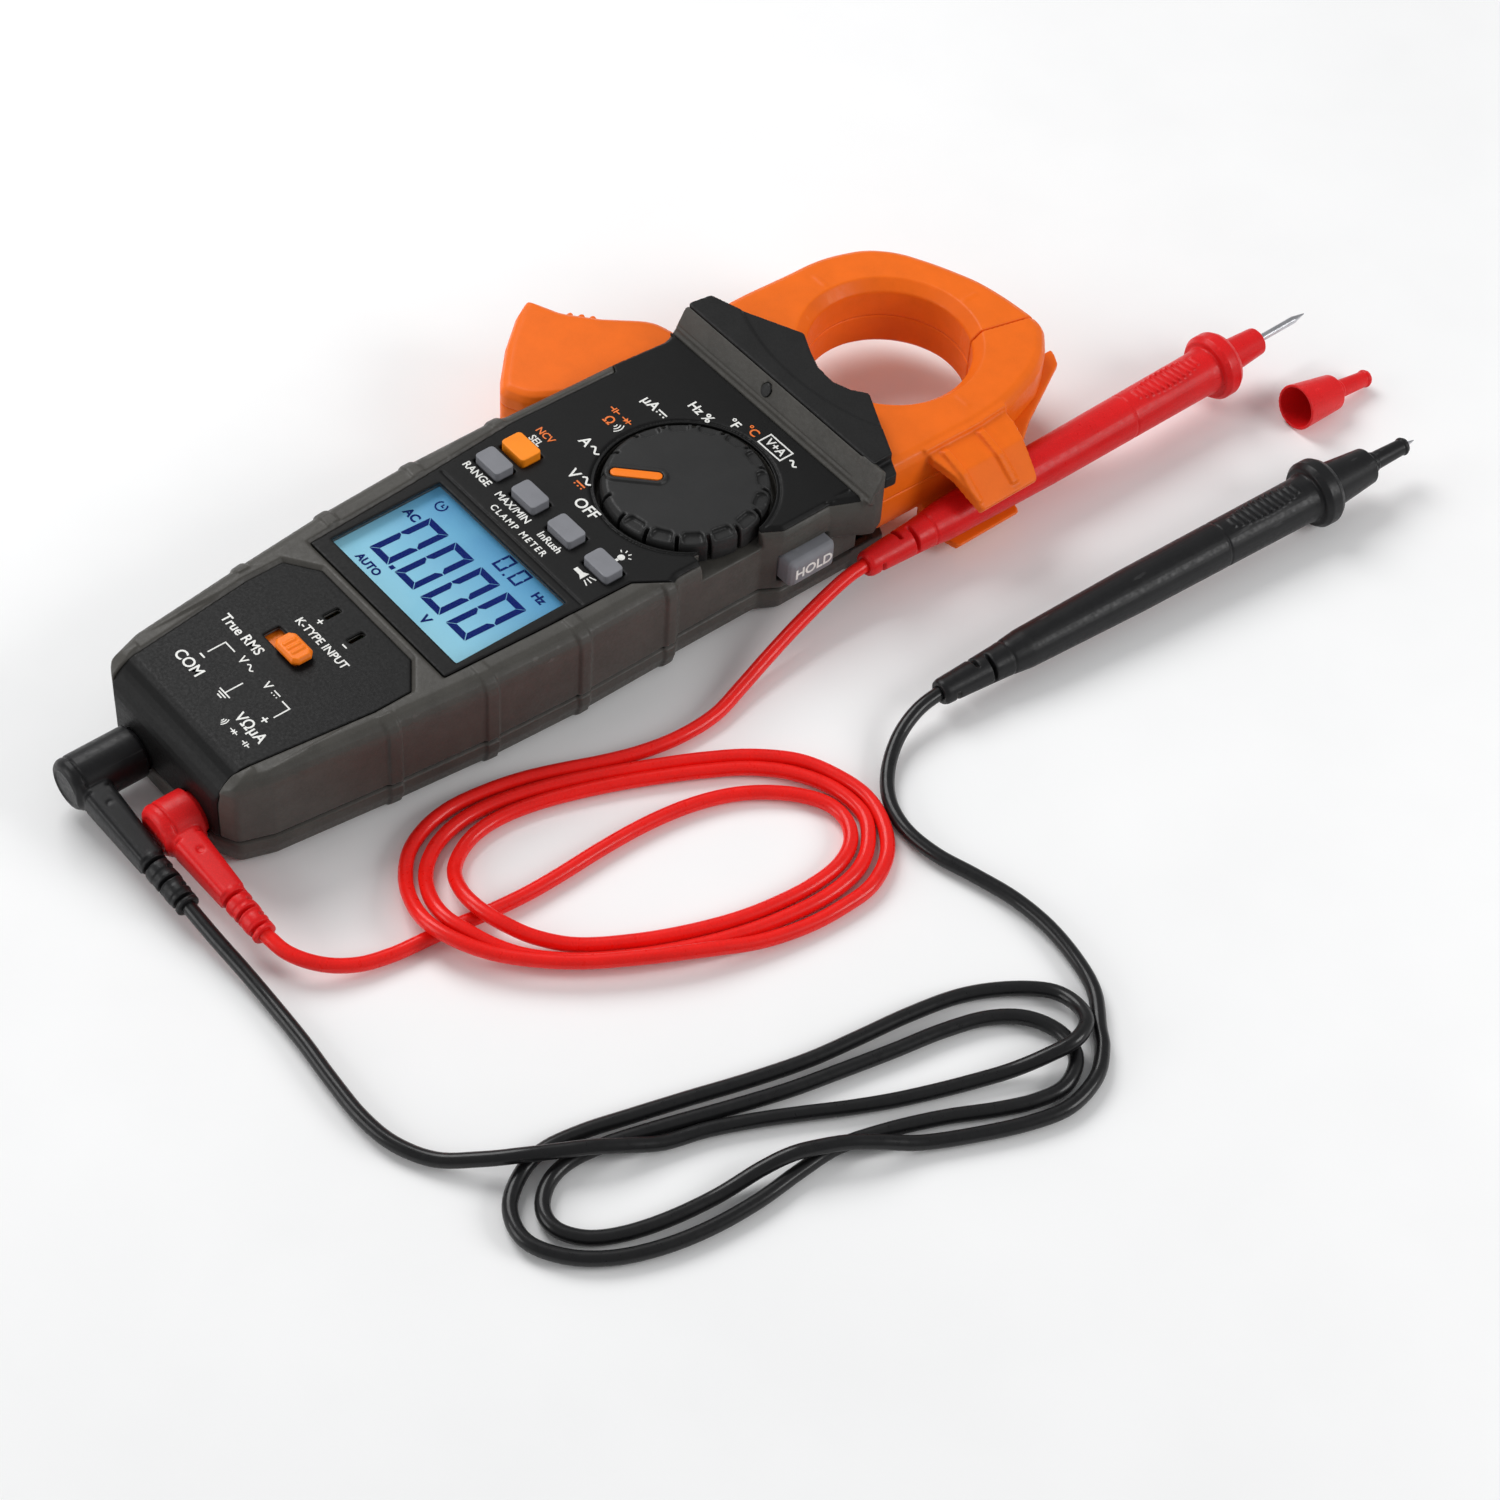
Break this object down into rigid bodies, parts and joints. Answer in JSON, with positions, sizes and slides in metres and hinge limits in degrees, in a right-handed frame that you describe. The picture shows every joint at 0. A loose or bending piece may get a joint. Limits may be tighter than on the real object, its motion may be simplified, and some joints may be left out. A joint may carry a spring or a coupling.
{
  "type": "clamp meter",
  "caption": "Hand-held AC clamp meter with lever-opened jaw, rotary switch, backlit LCD and plugged-in red and black test leads.",
  "frame": {"origin": "centre of the flat rear face of the case, which it lies on", "axes": "+Z out through the face, +Y from the jack end towards the jaw tips, +X towards the hold button's side"},
  "size_m": [0.2632, 0.3543, 0.0373],
  "materials": {
    "case_plastic": "fine-textured moulded ABS, charcoal",
    "collar_plastic": "darker matte moulding",
    "jaw_plastic": "orange insulated moulding",
    "knob_plastic": "dark moulded plastic",
    "orange_trim": "orange moulded trim",
    "button_rubber": "grey silicone rubber",
    "select_rubber": "orange silicone rubber",
    "lcd_window": "clear acrylic window",
    "lcd_film": "blue backlit LCD",
    "backlight": "white light guide",
    "circuit_board": "green solder mask",
    "switch_black": "black nylon",
    "steel": "plated steel",
    "brass": "machined brass",
    "battery_jacket": "printed battery jacket",
    "core_iron": "laminated iron core",
    "winding": "enamelled winding",
    "rotor_nylon": "natural nylon",
    "clear_lens": "frosted clear lens",
    "red_lead": "red soft PVC",
    "black_lead": "black soft PVC",
    "red_probe": "red moulded probe",
    "black_probe": "black moulded probe"
  },
  "bodies": {
    "meter": {"front_shell": "case_plastic", "rear_shell": "case_plastic", "jaw_collar": "collar_plastic", "case_screws": "steel", "lcd_lens": "lcd_window", "lcd_panel": "lcd_film", "lcd_backlight": "backlight", "main_board": "circuit_board", "tact_switches": "switch_black", "hold_switch": "switch_black", "beeper": "brass", "jack_holder": "switch_black", "com_jack": "brass", "volt_jack": "brass", "thermocouple_contacts": "brass", "batteries": "battery_jacket", "battery_contacts": "steel", "ncv_lens": "clear_lens", "worklight_lens": "clear_lens", "fixed_jaw_lower": "jaw_plastic", "fixed_jaw_upper": "jaw_plastic", "fixed_core": "core_iron", "fixed_coil": "winding", "jaw_pivot": "steel", "jaw_spring": "steel", "red_plug": "red_probe", "red_plug_pin": "brass", "black_plug": "black_probe", "black_plug_pin": "brass", "red_cord_in": "red_lead", "red_coil": "red_lead", "red_cord_out": "red_lead", "black_cord_in": "black_lead", "black_coil": "black_lead", "black_cord_out": "black_lead", "red_probe": "red_probe", "red_probe_tip": "steel", "black_probe": "black_probe", "black_probe_tip": "steel", "red_tip_cap": "red_probe"},
    "moving_jaw": {"moving_jaw_lower": "jaw_plastic", "moving_jaw_upper": "jaw_plastic", "moving_core": "core_iron", "moving_coil": "winding"},
    "knob": {"knob": "knob_plastic", "knob_pointer": "orange_trim", "switch_rotor": "rotor_nylon", "detent_balls": "steel"},
    "battery_door": {"battery_door": "case_plastic", "door_screw": "steel"},
    "input_shutter": {"input_shutter": "orange_trim"},
    "black_tip_cap": {"black_tip_cap": "black_probe"},
    "range_button": {"range_button": "button_rubber"},
    "maxmin_button": {"maxmin_button": "button_rubber"},
    "inrush_button": {"inrush_button": "button_rubber"},
    "light_button": {"light_button": "button_rubber"},
    "select_button": {"select_button": "select_rubber"},
    "hold_button": {"hold_button": "button_rubber"}
  },
  "joints": [
    {"name": "jaw_hinge", "type": "hinge", "parent": "meter", "child": "moving_jaw", "pos_m": [-0.02, 0.08, 0.02], "axis": [0, 0, 1], "range_deg": [0, 25], "stiffness_Nm_per_rad": 0.5, "springref_deg": -20.05},
    {"name": "knob_turn", "type": "hinge", "parent": "meter", "child": "knob", "pos_m": [0.0117, 0.0513, 0.028], "axis": [0, 0, 1], "range_deg": [-142, 24]},
    {"name": "battery_door_hinge", "type": "hinge", "parent": "meter", "child": "battery_door", "pos_m": [0, -0.0092, 0.0012], "axis": [1, 0, 0], "range_deg": [0, 95]},
    {"name": "input_shutter_slide", "type": "slide", "parent": "meter", "child": "input_shutter", "axis": [-1, 0, 0], "range_m": [0, 0.006]},
    {"name": "black_tip_cap_slide", "type": "slide", "parent": "meter", "child": "black_tip_cap", "axis": [0.0697, 0.9973, 0.0244], "range_m": [0, 0.03]},
    {"name": "hold_press", "type": "slide", "parent": "meter", "child": "hold_button", "axis": [-1, 0, 0], "range_m": [0, 0.0008], "stiffness_N_per_m": 1500},
    {"name": "range_press", "type": "slide", "parent": "meter", "child": "range_button", "axis": [0, 0, -1], "range_m": [0, 0.001], "stiffness_N_per_m": 1500},
    {"name": "maxmin_press", "type": "slide", "parent": "meter", "child": "maxmin_button", "axis": [0, 0, -1], "range_m": [0, 0.001], "stiffness_N_per_m": 1500},
    {"name": "inrush_press", "type": "slide", "parent": "meter", "child": "inrush_button", "axis": [0, 0, -1], "range_m": [0, 0.001], "stiffness_N_per_m": 1500},
    {"name": "light_press", "type": "slide", "parent": "meter", "child": "light_button", "axis": [0, 0, -1], "range_m": [0, 0.001], "stiffness_N_per_m": 1500},
    {"name": "select_press", "type": "slide", "parent": "meter", "child": "select_button", "axis": [0, 0, -1], "range_m": [0, 0.001], "stiffness_N_per_m": 1500}
  ]
}
